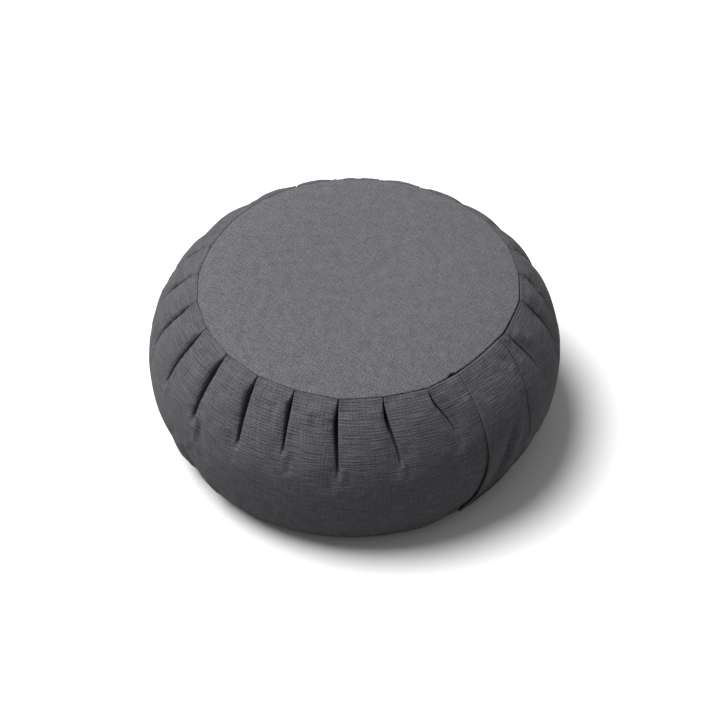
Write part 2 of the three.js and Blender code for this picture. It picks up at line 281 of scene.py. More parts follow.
def top_seam_reach(angle):
    """The seam runs nearly straight between two lines, with half of the bow of a true arc."""
    angle = (np.asarray(angle, float) - LINE_STARTS[0]) % 360 + LINE_STARTS[0]
    begin = np.searchsorted(LINE_STARTS, angle, side="right") - 1
    end = (begin + 1) % len(LINES)
    span = (LINE_STARTS[end] - LINE_STARTS[begin]) % 360
    share = (angle - LINE_STARTS[begin]) / span
    arc = LINE_REACHES[begin] + share * (LINE_REACHES[end] - LINE_REACHES[begin])
    half = np.radians(span / 2)
    bow = np.cos(half) / np.cos(np.radians(span * share) - half)
    return arc * (1 + bow) / 2


print("top seam's reach at the front, mm:", round(float(top_seam_reach(0.0)), 1))

# %% [markdown]
# ## The cut of a pleat
#
# A pleat is folded cloth, not a scratch: on one side the cloth dives in on a slope, and on the
# other it comes back up as a steep wall and rolls over into a crisp lip that hangs a little over
# the hollow. A height map can't hang over, so the fold's cross-section is drawn as a small curve
# with its points across, in widths of the pleat, and down, in depths of it.

# %% Cross-section of a pleat
FOLD_SECTION = np.array([
    (-3.20, 0.00),
    (-2.20, 0.00),
    (-1.50, 0.02),
    (-1.12, 0.07),
    (-0.94, 0.20),
    (-0.84, 0.50),
    (-0.72, 0.85),
    (-0.25, 1.00),
    (0.20, 0.92),
    (0.26, 0.55),
    (0.00, 0.20),
    (0.05, 0.03),
    (0.40, -0.04),
    (1.30, -0.03),
    (3.20, 0.00),
])
FOLD_REACH = 3.2
FOLD_STEPS = 22
# Shares of the way from the seam to the pleat's foot, and of its full width and depth.
OPEN_AT = 0.33
FADED_AT = 1.12
FADE_POWER = 0.9
WIDTH_AT_SEAM = 0.2
DEPTH_AT_SEAM = 0.85
TAPER = 0.4
TAPER_OVER = 0.7
# At the very seam the pleat is sewn nearly flat, and lets go within this sink.
FLAT_AT_SEAM = 0.25
LET_GO_WITHIN = 0.03


def fold_curve(steps):
    """Points of the fold's section on a smooth curve through FOLD_SECTION."""
    place_on = np.linspace(0, len(FOLD_SECTION) - 1, steps)
    index = np.clip(place_on.astype(int), 0, len(FOLD_SECTION) - 2)
    part = (place_on - index)[:, None]
    points = np.vstack([FOLD_SECTION[:1], FOLD_SECTION, FOLD_SECTION[-1:]])
    a, b, c, d = (points[index + k] for k in range(4))
    bend = (2 * a - 5 * b + 4 * c - d) * part**2 + (3 * b - a - 3 * c + d) * part**3
    return 0.5 * (2 * b + (c - a) * part + bend)


def pleat_size(pleat, sink):
    """Depth and width of a pleat at a sink: sewn shut at the seam, then open, then faded out."""
    down = sink / foot_sink(pleat)
    opened = smooth(down / OPEN_AT)
    closing = min(1, max(0, (FADED_AT - down) / (FADED_AT - OPEN_AT)) ** FADE_POWER)
    let_go = smooth(FLAT_AT_SEAM + sink / LET_GO_WITHIN)
    depth = pleat["deep"] * (DEPTH_AT_SEAM + (1 - DEPTH_AT_SEAM) * opened) * closing * let_go
    width = pleat["wide"] * (WIDTH_AT_SEAM + (1 - WIDTH_AT_SEAM) * opened)
    width *= 1 - TAPER * smooth((down - OPEN_AT) / TAPER_OVER)
    return float(depth), float(width)


FOLD_POINTS = fold_curve(FOLD_STEPS)
EVEN_STEPS = np.linspace(-FOLD_REACH, FOLD_REACH, FOLD_STEPS)
print("a fold's section has", len(FOLD_POINTS), "points")

# %% [markdown]
# ## The side band
#
# The band is one long strip, so its mesh is a grid that runs round the cushion: columns follow
# the lines down the side and crowd together in each pleat, and rows go from seam to seam.

# %% Columns of the band
BETWEEN_STEPS = 6
# Columns in mm from the flap's join, close together where the cloth steps up.
JOIN_COLUMNS = np.array([-1.3, 0.0, 0.25, 0.5, 1.2])
# A pleat shallower than this share of its full depth starts to lie flat.
FLATTENS_AT = 0.35


def folded_share(pleat, depth):
    """1 where a pleat has its folded section, and 0 where its columns lie evenly side by side."""
    return smooth(depth / (FLATTENS_AT * pleat["deep"]))


def line_columns(line, sink, reach):
    """Angles and inward cuts of the columns of one line, and the angles of its two edges."""
    middle = line_angle(line, sink)
    if line is FLAP_JOIN:
        columns = list(middle + np.degrees(JOIN_COLUMNS / reach))
        return columns, [0.0] * len(columns), columns[0], columns[-1]
    if "lip" not in line:
        return [middle], [0.0], middle, middle
    depth, width = pleat_size(line, sink)
    per_width = math.degrees(width / reach)
    folded = folded_share(line, depth)
    across = (EVEN_STEPS + folded * (FOLD_POINTS[:, 0] - EVEN_STEPS)) * per_width
    cuts = FOLD_POINTS[:, 1] * depth
    if line["lip"] < 0:
        across, cuts = -across[::-1], cuts[::-1]
    edge = FOLD_REACH * per_width
    return list(middle + across), list(cuts), middle - edge, middle + edge


def band_row(sink):
    """Angles and inward cuts of all the columns at one sink."""
    reach = section(sink)[0]
    angles, cuts = [], []
    groups = [line_columns(line, sink, reach) for line in LINES]
    for index, (group_angles, group_cuts, _, end) in enumerate(groups):
        angles += group_angles
        cuts += group_cuts
        span = float((groups[(index + 1) % len(LINES)][2] - end) % 360)
        shares = (np.arange(BETWEEN_STEPS) + 1) / (BETWEEN_STEPS + 1)
        angles += list(end + span * shares)
        cuts += [0.0] * BETWEEN_STEPS
    return np.array(angles), np.array(cuts)


print(len(band_row(0.5)[0]), "columns round the band")

# %% [markdown]
# ## Relief of the side
#
# Three things lift the cloth from the plain form: the lobes between two pleats, the soft folds,
# and a small puff below the foot of each pleat, where the gathered cloth is let go and catches the
# light. Behind the flap's join the band lies as high as the flap, as one cloth runs on there.

# %% Relief of the side
# Rises and the puffs' widths are in mm, the lobes' half width and the join's fading in degrees,
# the rest in sinks. A puff's rise is a share of its pleat's depth.
CLOTH = 1.6
PARTING = 0.45
LOBE_RISE = 1.3
LOBE_HALF_WIDTH = 6.5
LOBE_FULL_AT = 0.12
LOBE_FADES_FROM = 0.3
LOBE_FADES_OVER = 0.6
PUFF_RISE = 0.065
PUFF_BELOW = 0.03
PUFF_ASIDE = 1.5
PUFF_WIDE = 6.0
PUFF_LONG = 0.07
FOLDS_FADE_FROM = 1.75
FOLDS_FADE_OVER = 0.2
JOIN_STEP = 0.5
JOIN_FADES_OVER = 13


def lobes(angles, sink):
    """The filling pushes the cloth out between two pleats, most of all just under the seam."""
    nearest = np.min([abs(turn(line_angle(pleat, sink), angles)) for pleat in PLEATS], axis=0)
    fade = smooth(sink / LOBE_FULL_AT) * (1 - smooth((sink - LOBE_FADES_FROM) / LOBE_FADES_OVER))
    return LOBE_RISE * fade * smooth(nearest / LOBE_HALF_WIDTH)


def folds(angles, sink, reach):
    """Soft folds, which fade out before the foot so that the cushion rests flat."""
    total = np.zeros_like(angles)
    for fold in FOLDS:
        middle = fold["at"] + fold["slant"] * (sink - fold["sink"])
        across = np.radians(turn(middle, angles)) * reach / fold["wide"]
        along = 1 - smooth(abs(sink - fold["sink"]) / fold["long"])
        total += fold["rise"] * np.exp(-across**2) * along
    return total * (1 - smooth((sink - FOLDS_FADE_FROM) / FOLDS_FADE_OVER))


def puffs(angles, sink, reach):
    """The filling swells out below the foot of a pleat, where the cloth is free again."""
    total = np.zeros_like(angles)
    for pleat in PLEATS:
        foot = foot_sink(pleat) + PUFF_BELOW
        from_line = np.radians(turn(line_angle(pleat, foot), angles)) * reach
        across = (from_line - PUFF_ASIDE * pleat["lip"]) / PUFF_WIDE
        down = (sink - foot) / PUFF_LONG
        total += PUFF_RISE * pleat["deep"] * np.exp(-across**2 - down**2)
    return total


def raise_behind_join(angles, sink, reach):
    """Behind its join the band is as high as the flap, and sinks back to the side from there."""
    behind = turn(line_angle(FLAP_JOIN, sink), angles)
    step = smooth(np.radians(behind) * reach / JOIN_STEP)
    sinks_back = step * (1 - smooth(behind / JOIN_FADES_OVER))
    return (CLOTH + PARTING) * np.where(behind < JOIN_FADES_OVER, sinks_back, 0)


print("the band lies", CLOTH + PARTING, "mm higher behind the join")


# %% Places of the cloth
def band_points(angles, push, sink):
    """Places of the band's cloth for one row, pushed out from the plain side by a push in mm."""
    reach, height, out = section(sink)
    rounded = roundness(angles)
    reaches = reach * rounded
    heights = np.full_like(angles, height)
    if sink < 1:
        reaches += (1 - sink) ** 2 * (top_seam_reach(angles) - section(0)[0] * rounded)
        lift = (top_seam_level(angles) - WIDEST_HEIGHT) / (TOP_SEAM_HEIGHT - WIDEST_HEIGHT)
        heights = WIDEST_HEIGHT + (height - WIDEST_HEIGHT) * lift
    heights = np.maximum(heights + out[1] * push, FOOT_HEIGHT)
    return place(angles, reaches + out[0] * push, heights)


def side_relief(angles, sink):
    """How far the cloth lies outside the plain side, apart from the pleats' cuts."""
    reach = section(sink)[0]
    relief = lobes(angles, sink) + folds(angles, sink, reach) + puffs(angles, sink, reach)
    return relief + raise_behind_join(angles, sink, reach)


print("highest relief at the widest line, mm:", round(side_relief(np.arange(360.0), 1.0).max(), 1))

# %% [markdown]
# ## Let the filling push the cloth
#
# Cloth under pressure doesn't keep a drawn shape: between the places that hold it, it swells and
# puckers a little, in no two places alike. A coarse net of the band is simulated for this. It is
# held at both seams and along the pleats, its cloth is a little longer than the form, and the
# filling presses from inside. The size belongs to the solid model, so what all places in a row
# have in common is taken out again, and only each place's own small movement is kept.

# %% Net of the band
NET_COLUMNS = 240
NET_ROWS = 60
# A pleat holds within some degrees and lets go near its foot, the seam within a sink. Each pair
# is where a hold changes and over what length.
HELD_BY_PLEAT = 0.7
PLEAT_HOLDS_WITHIN = 2.5
PLEAT_LETS_GO = (0.8, 0.3)
TOP_SEAM_HOLDS_WITHIN = 0.08
FOOT_HOLDS_FROM = (1.55, 0.2)
NET_ANGLES = np.arange(NET_COLUMNS) * 360 / NET_COLUMNS
NET_SINKS = np.linspace(0, 2, NET_ROWS)


def from_over(value, start_and_length):
    """A soft step from 0 to 1 that starts at a value and takes a length."""
    start, length = start_and_length
    return smooth((value - start) / length)


def hold_weights():
    """How firmly the net is held: fully at the seams and the foot, less along the pleats."""
    weights = np.zeros((NET_ROWS, NET_COLUMNS))
    for row, sink in enumerate(NET_SINKS):
        for pleat in PLEATS:
            aside = abs(turn(line_angle(pleat, sink), NET_ANGLES))
            near = 1 - smooth(aside / PLEAT_HOLDS_WITHIN)
            above_foot = 1 - from_over(sink / foot_sink(pleat), PLEAT_LETS_GO)
            weights[row] = np.maximum(weights[row], HELD_BY_PLEAT * near * above_foot)
        seams = max(1 - smooth(sink / TOP_SEAM_HOLDS_WITHIN), from_over(sink, FOOT_HOLDS_FROM))
        weights[row] = np.maximum(weights[row], seams)
    return weights


def make_net():
    """The net as a closed object with its hold weights, and its points before the simulation."""
    start = np.array([band_points(NET_ANGLES, side_relief(NET_ANGLES, sink), sink)
                      for sink in NET_SINKS])
    faces = []
    for row in range(NET_ROWS - 1):
        for column in range(NET_COLUMNS):
            after = (column + 1) % NET_COLUMNS
            upper, lower = row * NET_COLUMNS, (row + 1) * NET_COLUMNS
            faces.append((upper + column, lower + column, lower + after, upper + after))
    last_row = (NET_ROWS - 1) * NET_COLUMNS
    faces.append(tuple(range(NET_COLUMNS)))
    faces.append(tuple(last_row + column for column in reversed(range(NET_COLUMNS))))
    mesh = bpy.data.meshes.new("net")
    mesh.from_pydata([tuple(point) for point in start.reshape(-1, 3)], [], faces)
    net = bpy.data.objects.new("net", mesh)
    bpy.context.collection.objects.link(net)
    held = net.vertex_groups.new(name="held")
    for index, weight in enumerate(hold_weights().ravel()):
        held.add([index], float(weight), "REPLACE")
    return net, start


print("net:", NET_COLUMNS, "by", NET_ROWS, "points")

# %% Simulate the net
PRESSURE = 4.0
EXTRA_LENGTH = 0.02
SIMULATED_FRAMES = 20
MOST_MOVED = 4.0


def pressed_movement():
    """How far the pressure moves each point of the net, in metres."""
    net, start = make_net()
    settings = net.modifiers.new("cloth", "CLOTH").settings
    settings.vertex_group_mass = "held"
    settings.effector_weights.gravity = 0
    settings.use_pressure = True
    settings.uniform_pressure_force = PRESSURE
    settings.shrink_min = -EXTRA_LENGTH
    for frame_number in range(1, SIMULATED_FRAMES + 1):
        bpy.context.scene.frame_set(frame_number)
    settled = net.evaluated_get(bpy.context.evaluated_depsgraph_get()).data
    moved = np.array([vertex.co for vertex in settled.vertices]).reshape(start.shape) - start
    bpy.context.scene.frame_set(1)
    bpy.data.objects.remove(net)
    return moved


def own_movement(moved):
    """The movement without what a whole row has in common, and nowhere more than MOST_MOVED."""
    around = np.radians(NET_ANGLES)
    outwards = np.stack([np.sin(around), -np.cos(around), 0 * around], axis=-1)
    along = np.stack([np.cos(around), np.sin(around), 0 * around], axis=-1)
    for direction in (outwards, along, np.array([0, 0, 1.0])):
        in_common = (moved * direction).sum(axis=2).mean(axis=1)[:, None, None]
        moved = moved - in_common * direction
    lengths = np.linalg.norm(moved, axis=2, keepdims=True)
    return moved * np.minimum(1, MOST_MOVED * MM / np.maximum(lengths, MM * MM))


def longest(moved):
    """The longest movement in a net, in millimetres."""
    return round(float(np.linalg.norm(moved, axis=2).max() / MM), 1)


PRESSED = pressed_movement()
MOVED = own_movement(PRESSED)
print("most moved by the pressure, mm:", longest(PRESSED), "and kept:", longest(MOVED))


# %% Movement between the points of the net
def moved_at(angles, sink):
    """The simulated movement at places between the points of the net."""
    down = sink / 2 * (NET_ROWS - 1)
    row = min(int(down), NET_ROWS - 2)
    across = np.asarray(angles) % 360 / 360 * NET_COLUMNS
    column = across.astype(int) % NET_COLUMNS
    part = (across - np.floor(across))[:, None]
    after = (column + 1) % NET_COLUMNS
    upper = MOVED[row, column] * (1 - part) + MOVED[row, after] * part
    lower = MOVED[row + 1, column] * (1 - part) + MOVED[row + 1, after] * part
    return upper + (down - row) * (lower - upper)


def cloth_points(angles, push, sink):
    """Places of the band's cloth for one row, with the simulated movement."""
    points = band_points(angles, push, sink) + moved_at(angles, sink)
    points[:, 2] = np.maximum(points[:, 2], FOOT_HEIGHT * MM)
    return points


# %% [markdown]
# ## From rings to a closed mesh
#
# A filled piece is a stack of rings, closed by a point at either end. One helper makes the mesh
# and stores the cloth's own length and height on it, in metres, as a map for the weave to follow.
# The map sits on face corners, so it can break cleanly where the strip's two ends meet.

# %% Mesh helpers
def add_mesh(name, points, faces, corner_places):
    """An object from points and faces, with the cloth's own place at each corner of a face."""
    mesh = bpy.data.meshes.new(name)
    mesh.from_pydata([tuple(point) for point in points], [], faces)
    layer = mesh.uv_layers.new(name="cloth")
    layer.data.foreach_set("uv", np.array(corner_places, dtype=np.float32).ravel())
    mesh.shade_smooth()
    piece = bpy.data.objects.new(name, mesh)
    bpy.context.collection.objects.link(piece)
    return piece


def add_rings(name, low, rings, high, cloth_place):
    """A closed mesh from rings of points, lowest first. cloth_place(ring, column) is in metres."""
    count = len(rings[0])
    last = len(rings) - 1
    points = np.vstack([[low], *rings, [high]])
    low_place = np.mean([cloth_place(0, i) for i in range(count)], axis=0)
    high_place = np.mean([cloth_place(last, i) for i in range(count)], axis=0)
    faces, places = [], []
    for i in range(count):
        j = (i + 1) % count
        faces.append((0, 1 + j, 1 + i))
        places += [low_place, cloth_place(0, i + 1), cloth_place(0, i)]
        for ring in range(last):
            base = 1 + ring * count
            faces.append((base + i, base + j, base + count + j, base + count + i))
            places += [cloth_place(ring, i), cloth_place(ring, i + 1)]
            places += [cloth_place(ring + 1, i + 1), cloth_place(ring + 1, i)]
        faces.append((1 + last * count + i, 1 + last * count + j, len(points) - 1))
        places += [cloth_place(last, i), cloth_place(last, i + 1), high_place]
    return add_mesh(name, points, faces, places)


# %% [markdown]
# ## Sew the band
#
# At both seams the cloth's edge turns in and disappears between the pieces, so the band's rings go
# on a little way into the seam before they close under the panels. The weave has to run along the
# strip as if it lay flat. In a pleat more cloth goes into the fold than shows, so the map keeps
# the threads' spacing between two pleats and lets the fold swallow what doesn't fit.

# %% Edges of the band
UPPER_ROWS = 84
LOWER_ROWS = 62
# How far each ring of the tucked edge lies inwards and deeper, in mm, and how much cloth it takes.
TUCK = [(0.1, 0.35), (0.15, 1.8), (1.6, 4.2)]
TUCK_CLOTH = np.array([0.001, 0.003, 0.006, 0.02])
INNER_RING = 0.6
INNER_RISE = 0.003


def tucked(ring, direction):
    """Rings that carry the cloth's edge into the seam: inwards and then away from the outside."""
    rings = []
    for inwards, deeper in TUCK:
        shrink = 1 - inwards / BOTTOM_SEAM_RADIUS
        rings.append(ring * [shrink, shrink, 1] - [0, 0, direction * deeper * MM])
    rings.append(rings[-1] * [INNER_RING, INNER_RING, 1])
    return rings


def crease_columns():
    """For each line, the column of its deepest point and the column midway to the next line."""
    creases, middles, start = [], [], 0
    deepest = int(np.argmax(FOLD_POINTS[:, 1]))
    for line in LINES:
        steps, inside = 1, 0
        if line is FLAP_JOIN:
            steps, inside = len(JOIN_COLUMNS), 1
        if "lip" in line:
            steps, inside = FOLD_STEPS, deepest if line["lip"] > 0 else FOLD_STEPS - 1 - deepest
        creases.append(start + inside)
        middles.append(start + steps + BETWEEN_STEPS // 2)
        start += steps + BETWEEN_STEPS
    return creases, middles, start


CREASES, MIDDLES, COLUMN_COUNT = crease_columns()
STRIP_LENGTH = 2 * math.pi * WIDEST_RADIUS * MM
print("strip:", round(STRIP_LENGTH, 3), "m long,", COLUMN_COUNT, "columns")


# %% Make the band
def places_along_strip(ring, sink, widest):
    """How far along the strip each column of a row lies. Where a row has less cloth than its
    stretch of the strip, what is left over is hidden at the bottom of the pleats."""
    steps = np.linalg.norm(np.roll(ring, -1, axis=0) - ring, axis=1)
    walked = np.concatenate([[0], np.cumsum(np.tile(steps, 2))])
    at_widest = np.concatenate([widest, widest + STRIP_LENGTH])
    places = np.zeros(2 * COLUMN_COUNT)
    for index, (crease, middle) in enumerate(zip(CREASES, MIDDLES)):
        following = (index + 1) % len(LINES)
        next_crease = CREASES[following] + (COLUMN_COUNT if following == 0 else 0)
        stretches = ((LINES[index], crease, middle), (LINES[following], middle, next_crease))
        for line, start, end in stretches:
            even = (at_widest[end] - at_widest[start]) / (walked[end] - walked[start])
            folded = 0.0
            if "lip" in line:
                folded = folded_share(line, pleat_size(line, sink)[0])
            scale = even + folded * (min(1.0, even) - even)
            inside = np.arange(start, end + 1)
            places[inside] = at_widest[middle] + (walked[inside] - walked[middle]) * scale
    first = CREASES[0]
    places[:first] = places[COLUMN_COUNT:COLUMN_COUNT + first] - STRIP_LENGTH
    return np.append(places[:COLUMN_COUNT], places[0] + STRIP_LENGTH)


def lengths_down(sinks):
    """How far down the side each sink lies along the cloth, in metres."""
    profile = np.array([section(sink)[:2] for sink in sinks])
    return np.concatenate([[0], np.cumsum(np.hypot(*np.diff(profile, axis=0).T))]) * MM


def make_band():
    """The pleated band as one closed, filled form from seam to seam."""
    upper_sinks = np.linspace(0, 1, UPPER_ROWS, endpoint=False)
    sinks = np.concatenate([upper_sinks, np.linspace(1, 2, LOWER_ROWS)])
    rows = []
    for sink in sinks:
        angles, cuts = band_row(sink)
        rows.append(cloth_points(angles, side_relief(angles, sink) - cuts, sink))
    widest = np.radians(band_row(1.0)[0]) * WIDEST_RADIUS * MM
    along = [places_along_strip(ring, sink, widest) for ring, sink in zip(rows, sinks)]
    extra = len(TUCK) + 1
    along = ([along[0]] * extra + along + [along[-1]] * extra)[::-1]
    rings = tucked(rows[-1], -1)[::-1] + rows[::-1] + tucked(rows[0], 1)
    lengths = lengths_down(sinks)
    down = np.concatenate([lengths[-1] + TUCK_CLOTH[::-1], lengths[::-1], -TUCK_CLOTH])
    low = (0, 0, rings[0][0, 2])
    high = (0, 0, rings[-1][:, 2].mean() + INNER_RISE)

    def cloth_place(ring, column):
        return along[ring][column], -down[ring]

    return add_rings("side_band_cloth", low, rings, high, cloth_place)


band = make_band()
print("band:", len(band.data.polygons), "faces")

# %% [markdown]
# ## Top and bottom panels
#
# The top disc is pushed up into a low crown, and its rim rolls over into the seam. The bottom disc
# is flat where the cushion rests and curls up only at its rim. Both are cut from flat cloth, so
# each is a thin closed sheet with its thickness. The threads of a disc run straight across it, at
# an angle to the view that nobody lines up when sewing.

# %% Shape of the panels
CROWN_HEIGHT = 11.0
CROWN_POWER = 3.8
RIM_ROLL = 0.8
RIM_DEPTH = 1.6
FLAT_SHARE = 0.95
BOTTOM_PARTING = 1.0
# The seam's opening in mm, tight at the back and widest at the front right.
SEAM_GAP = 0.35
SEAM_OPEN = 0.9
WIDEST_OPEN_AT = 40
# Beside the flap a small dark corner stays open.
CORNER_AT = 37.2
CORNER_OPEN = 2.4
CORNER_HALF_WIDTH = 1.6


def seam_gap(angles):
    """How far the top panel's rim stays off the band."""
    at_front = smooth(np.cos(np.radians(angles - WIDEST_OPEN_AT)))
    at_corner = np.exp(-(turn(CORNER_AT, angles) / CORNER_HALF_WIDTH) ** 2)
    return SEAM_GAP + SEAM_OPEN * at_front + CORNER_OPEN * at_corner


def top_panel_points(angles, share, drop):
    """The crowned face, rounded over at its rim. A share over 1 goes down into the seam."""
    over, share = max(0.0, share - 1), min(1.0, share)
    gap = seam_gap(angles)
    reach = top_seam_reach(angles) - gap
    rim = np.minimum(RIM_ROLL, gap)
    from_rim = np.clip(1 - (1 - share) * reach / rim, 0, 1)
    roll = rim * (1 - np.sqrt(1 - from_rim**2))
    level = TOP_SEAM_HEIGHT + share * (top_seam_level(angles) - TOP_SEAM_HEIGHT)
    height = level + CROWN_HEIGHT * (1 - share**CROWN_POWER) - roll - over * RIM_DEPTH - drop
    return place(angles, share * reach, height)


def bottom_panel_points(angles, share, rise):
    """Flat on the floor, with a rim that curls up into the bottom seam."""
    curl = max(0, (share - FLAT_SHARE) / (1 - FLAT_SHARE))
    reach = share * (BOTTOM_SEAM_RADIUS * roundness(angles) - BOTTOM_PARTING)
    return place(angles, reach, BOTTOM_SEAM_HEIGHT * curl * curl + rise)


print("middle of the crown, m:", round(float(top_panel_points(np.zeros(1), 0.0, 0.0)[0, 2]), 4))

# %% Make the panels
PANEL_STEPS = 6
TOP_GRAIN = 40.0
BOTTOM_GRAIN = 15.0
INNER_SHARE = 0.985
# Rings at even shares of the reach, closer together where the rim rolls over.
TOP_FACE_SHARES = np.linspace(0.08, 0.96, 25)
TOP_RIM_SHARES = [0.98, 0.9935, 0.9955, 0.9975, 0.9988, 1.0, 1.5, 2.0]
BOTTOM_SHARES = [0.3, 0.6, 0.8, 0.9, FLAT_SHARE, 0.965, 0.98, 0.99, 1.0]


def panel_angles():
    """Angles with a column at each line of the band and even steps between two of them."""
    steps = np.arange(PANEL_STEPS) / PANEL_STEPS
    angles = []
    for line, following in zip(LINES, LINES[1:] + LINES[:1]):
        span = float((following["at"] - line["at"]) % 360)
        angles.append(line["at"] + span * steps)
    return np.concatenate(angles)


def add_panel(name, points_at, shares, grain, outside):
    """A disc of cloth. points_at(angles, share, depth) gives its places at a depth in the cloth."""
    angles = panel_angles()
    outer = [points_at(angles, share, 0.0) for share in shares]
    inner = [points_at(angles, min(share, INNER_SHARE), CLOTH) for share in shares]
    under, over = (inner, outer) if outside > 0 else (outer, inner)
    rings = under + over[::-1]
    low = points_at(np.zeros(1), 0.0, CLOTH if outside > 0 else 0.0)[0]
    high = points_at(np.zeros(1), 0.0, 0.0 if outside > 0 else CLOTH)[0]
    flat = np.array([ring[:, :2] for ring in rings])
    cos, sin = math.cos(math.radians(grain)), math.sin(math.radians(grain))
    turned = flat @ np.array([[cos, sin], [-sin, cos]])

    def cloth_place(ring, column):
        return tuple(turned[ring][column % len(angles)])

    return add_rings(name, low, rings, high, cloth_place)


top_shares = [*TOP_FACE_SHARES, *TOP_RIM_SHARES]
top_panel = add_panel("top_panel_cloth", top_panel_points, top_shares, TOP_GRAIN, 1)
bottom_panel = add_panel("bottom_panel_cloth", bottom_panel_points, BOTTOM_SHARES, BOTTOM_GRAIN, -1)
print("panels:", len(top_panel.data.polygons), "and", len(bottom_panel.data.polygons), "faces")

# %% [markdown]
# ## Closing flap
#
# The flap is the plain end of the band. It is sewn on along its join, runs forward over the side
# and ends in a turned hem that lies free, with a dark gap under it. It follows the side a cloth's
# thickness further out, and its free edge is rounded off.

# %% Shape of the flap
FLAP_ROWS = 110
FLAP_COLUMNS = 44
FLAP_END_SINK = 1.85
JOIN_GAP = 1.0
# The free edge stands off the side most of all near the widest line.
EDGE_LIFT = 0.9
EDGE_LIFT_AT = 1.1
EDGE_LIFT_LONG = 0.7
EDGE_LIFT_WIDE = 0.3
# The rounded edge keeps this share of the cloth's thickness.
HEM_CLOSED = 0.02


def flap_points(sink, shares, height):
    """One row of the flap, from its free edge to its join, at a height over the side in mm."""
    start, end = line_angle(FLAP_EDGE, sink), line_angle(FLAP_JOIN, sink)
    angles = start + shares * (end - math.degrees(JOIN_GAP / section(sink)[0]) - start)
    near = 1 - smooth(abs(sink - EDGE_LIFT_AT) / EDGE_LIFT_LONG)
    lift = EDGE_LIFT * near * (1 - smooth(shares / EDGE_LIFT_WIDE))
    return cloth_points(angles, side_relief(angles, sink) + lift + height, sink)


def flap_faces():
    """Points of the flap's outer and inner face, and the sinks of their rows."""
    shares = np.linspace(0, 1, FLAP_COLUMNS)
    sinks = np.linspace(0, FLAP_END_SINK, FLAP_ROWS)
    outer = np.array([flap_points(sink, shares, PARTING + CLOTH) for sink in sinks])
    inner = np.array([flap_points(sink, shares, PARTING) for sink in sinks])
    rounded = (outer[:, 0] + inner[:, 0]) / 2
    outer[:, 0] = rounded
    inner[:, 0] = rounded + (inner[:, 1] - inner[:, 0]) * HEM_CLOSED
    return outer, inner, sinks


# %% Make the flap
OUTER, INNER = 0, 1


def sheet_faces(rows, columns):
    """Faces of a closed sheet, each with four corners of (layer, row, column)."""
    faces = []
    for row in range(rows - 1):
        below, end = row + 1, columns - 1
        for column in range(columns - 1):
            square = [(below, column), (below, column + 1), (row, column + 1), (row, column)]
            faces.append([(OUTER, *corner) for corner in square])
            faces.append([(INNER, *corner) for corner in square[::-1]])
        faces.append([(OUTER, row, 0), (INNER, row, 0), (INNER, below, 0), (OUTER, below, 0)])
        faces.append([(OUTER, row, end), (OUTER, below, end),
                      (INNER, below, end), (INNER, row, end)])
    for column in range(columns - 1):
        after, end = column + 1, rows - 1
        faces.append([(OUTER, 0, column), (OUTER, 0, after), (INNER, 0, after), (INNER, 0, column)])
        faces.append([(OUTER, end, column), (INNER, end, column),
                      (INNER, end, after), (OUTER, end, after)])
    return faces


def make_flap():
    """The flap as a closed sheet, with the weave counted from its join and from the top seam."""
    outer, inner, sinks = flap_faces()
    rows, columns = outer.shape[:2]
    points = np.concatenate([outer.reshape(-1, 3), inner.reshape(-1, 3)])
    down = lengths_down(sinks)
    steps = np.linalg.norm(np.diff(outer, axis=1), axis=2)
    from_join = np.hstack([np.cumsum(steps[:, ::-1], axis=1)[:, ::-1], np.zeros((rows, 1))])
    faces, places = [], []
    for corners in sheet_faces(rows, columns):
        faces.append([(layer * rows + row) * columns + column for layer, row, column in corners])
        places += [(-from_join[row, column], -down[row]) for _, row, column in corners]
    return add_mesh("closing_flap_cloth", points, faces, places)


flap = make_flap()
print("flap:", len(flap.data.polygons), "faces")

# %% [markdown]
# ## Colours and nodes
#
# Colours are given as they look on a screen, in sRGB, and Blender's shaders work with linear light,
# so one function turns the first into the second. A second one adds a node to a material, with its
# settings and links, so that each material below reads like a recipe.

# %% Colour and node helpers
def linear(hex_colour):
    """Linear RGBA from an sRGB hex value."""
    values = [int(hex_colour[i:i + 2], 16) / 255 for i in (1, 3, 5)]
    return [v / 12.92 if v <= 0.04045 else ((v + 0.055) / 1.055) ** 2.4 for v in values] + [1.0]


def add_node(tree, kind, settings=None, **inputs):
    """Adds a node. An input is a value or an output socket. A _ in its name is a space."""
    node = tree.nodes.new(kind)
    for name, value in (settings or {}).items():
        setattr(node, name, value)
    for name, value in inputs.items():
        socket = node.inputs[name.replace("_", " ")]
        if isinstance(value, bpy.types.NodeSocket):
            tree.links.new(value, socket)
        else:
            socket.default_value = value
    return node


print("middle grey in linear light:", [round(value, 3) for value in linear("#808080")])

# %% [markdown]
# ## Charcoal slub cloth
#
# The cloth is a cotton and linen blend in a plain weave, dyed after weaving. Its yarn is uneven:
# thick places, called slubs, show as short streaks along both sets of threads. It is matt, with a
# little sheen from loose fibres. Its colour runs only from a dark to a middle grey and follows the
# yarn's relief: painted shade between the threads and painted light on the raised slubs, over a
# faint random mottling that is the cloth's own tone. The low relief of the yarn does the rest, most
# of all where the light grazes the side. The real threads are about 1 mm apart, finer than this
# picture can show, so the weave is drawn coarser, at two to three times that size.

# %% One set of yarns
# Blender's wave texture repeats every pi / 10 of a unit at scale 1.
WAVE_LENGTH = math.pi / 10
WOBBLE = 1.6
SLUB_SHARE = 0.68
# Nearly all of a noise lies between these two values.
NOISE_LOW = 0.3
NOISE_HIGH = 0.7


